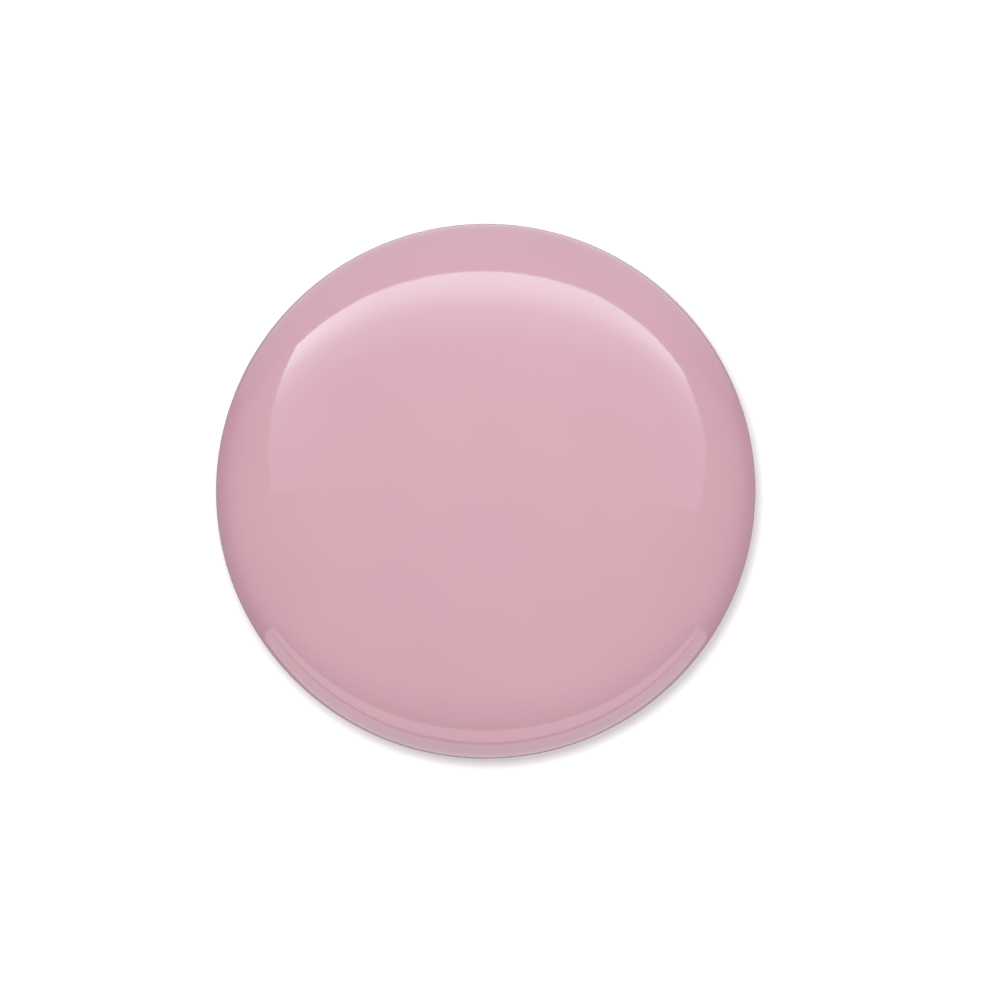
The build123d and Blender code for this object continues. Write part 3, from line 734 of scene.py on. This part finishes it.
def upright_board(name, side, half_width, bottom, top, levels, seen_by, end_gain=1.0):
    """A board that stands upright in front of the table or behind it.

    Its half width, bottom and top are shares of its distance; levels are those at bottom and top.
    """
    corners = [
        Vector((across * half_width, side, z)) * CARD_DISTANCE + CARD_MIDDLE
        for across, z in ((-1, bottom), (1, bottom), (1, top), (-1, top))
    ]
    places = ((0, 0), (1, 0), (1, 1), (0, 1))
    glow_card(name, corners, places, list(zip((0.0, 1.0), levels)), end_gain, seen_by)


# in front, a dim board over two pale ones with a dark gap between them
upright_board(
    "front_shade", FRONT, half_width=1.95, bottom=0.555, top=1.25, levels=(0.05, 0.165),
    seen_by="glossy",
)
upright_board(
    "front_board", FRONT, half_width=1.95, bottom=0.203, top=0.545, levels=(0.33, 0.32),
    seen_by="glossy", end_gain=0.85,
)
upright_board(
    "front_board_low", FRONT, half_width=1.95, bottom=-1.3, top=0.090, levels=(0.32, 0.32),
    seen_by="glossy", end_gain=0.85,
)
upright_board(
    "front_fill", FRONT, half_width=1.95, bottom=-0.082, top=0.348, levels=(0.07, 0.07),
    seen_by="diffuse",
)
upright_board(
    "back_board", BACK, half_width=1.9, bottom=-1.2, top=0.7, levels=(0.22, 0.19),
    seen_by="glossy", end_gain=0.45,
)
upright_board(
    "back_fill", BACK, half_width=1.2, bottom=-0.2, top=0.55, levels=(0.16, 0.16),
    seen_by="diffuse",
)

# overhead light that fades towards the horizon
WORLD_GAIN = 1.32
SKY_TILT = math.radians(5.0)
# from straight down (0) to straight up (1), with the horizon at 0.5
SKY_STOPS = [
    (0.0, grey(0.34)), (0.35, grey(0.26)), (0.49, grey(0.22)), (0.52, grey(0.46)),
    (0.75, grey(0.78)), (1.0, (1.0, 0.995, 0.99)),
]


def overhead_sky():
    """The world's light, a little brighter towards the back."""
    world = bpy.data.worlds.new("studio")
    bpy.context.scene.world = world
    world.use_nodes = True
    sky = world.node_tree
    background = sky.nodes["Background"]
    way = sky.nodes.new("ShaderNodeTexCoord")
    dot = sky.nodes.new("ShaderNodeVectorMath")
    dot.operation = "DOT_PRODUCT"
    dot.inputs[1].default_value = (0.0, math.sin(SKY_TILT), math.cos(SKY_TILT))
    sky.links.new(way.outputs["Generated"], dot.inputs[0])
    height = span(sky, dot.outputs["Value"], -1.0, 1.0, 0.0, 1.0)
    sky.links.new(ramp(sky, height, SKY_STOPS), background.inputs["Color"])
    background.inputs["Strength"].default_value = WORLD_GAIN


overhead_sky()

# a white light table: it glows except close round and under the case, where the missing glow paints a
# thin shadow round the case's edge
TABLE_REACH = 3.0
# painted shadow: no glow within the first reach of this off-centre point, fading in up to the second
# reach
PAINTED_SHADOW_CENTRE = (0.5 * MM, 1.1 * MM, 0.0)
PAINTED_SHADOW_FULL_REACH = 37.1 * MM
PAINTED_SHADOW_FADE_REACH = 40.4 * MM
GLOW_LEVEL = 0.95


def light_table_with_painted_shadow():
    """The table, seen by the camera but not by the case, so that it throws no light back."""
    material, tree, shader = new_material("table_white_painted_shadow")
    where = place(tree)
    tint(tree, shader, noise(tree, where, scale=8.0, detail=2.0), dark=grey(0.90), light=grey(0.92))
    shader.inputs["Roughness"].default_value = 0.9
    shader.inputs["Specular IOR Level"].default_value = 0.0
    # the glow's strength grows with distance from the centre, which paints the thin shadow round the
    # case
    away = tree.nodes.new("ShaderNodeVectorMath")
    away.operation = "DISTANCE"
    tree.links.new(where, away.inputs[0])
    away.inputs[1].default_value = PAINTED_SHADOW_CENTRE
    glow = span(tree, away.outputs["Value"], PAINTED_SHADOW_FULL_REACH, PAINTED_SHADOW_FADE_REACH, 0.0, GLOW_LEVEL)
    tree.links.new(glow, shader.inputs["Emission Strength"])
    shader.inputs["Emission Color"].default_value = (1.0, 1.0, 1.0, 1.0)
    corners = [
        (across * TABLE_REACH, away_y * TABLE_REACH, 0.0)
        for across, away_y in ((-1, -1), (1, -1), (1, 1), (-1, 1))
    ]
    table = stage_sheet("table_top", corners, material)
    table.visible_diffuse = False
    table.visible_glossy = False


light_table_with_painted_shadow()

# ------------------------------------------------------------------------ camera
CAMERA_ELEVATION = math.radians(82.2)
CAMERA_DISTANCE = 1.0
CAMERA_AIM = Vector((1.96 * MM, -1.29 * MM, 12.5 * MM))
SENSOR_WIDTH = 36.0
VIEW_HALF = 0.0686      # half the width that the camera sees at the lid's rim
camera_data = bpy.data.cameras.new("camera")
camera_data.sensor_width = SENSOR_WIDTH
camera_data.lens = SENSOR_WIDTH / 2 * CAMERA_DISTANCE / VIEW_HALF
camera_data.clip_start = 0.01
camera = bpy.data.objects.new("camera", camera_data)
bpy.context.scene.collection.objects.link(camera)
direction = Vector((0.0, -math.cos(CAMERA_ELEVATION), math.sin(CAMERA_ELEVATION)))
camera.location = CAMERA_AIM + direction * CAMERA_DISTANCE
camera.rotation_euler = (-direction).to_track_quat("-Z", "Y").to_euler()
bpy.context.scene.camera = camera
bpy.context.scene.view_settings.view_transform = "Standard"
bpy.context.scene.view_settings.look = "None"
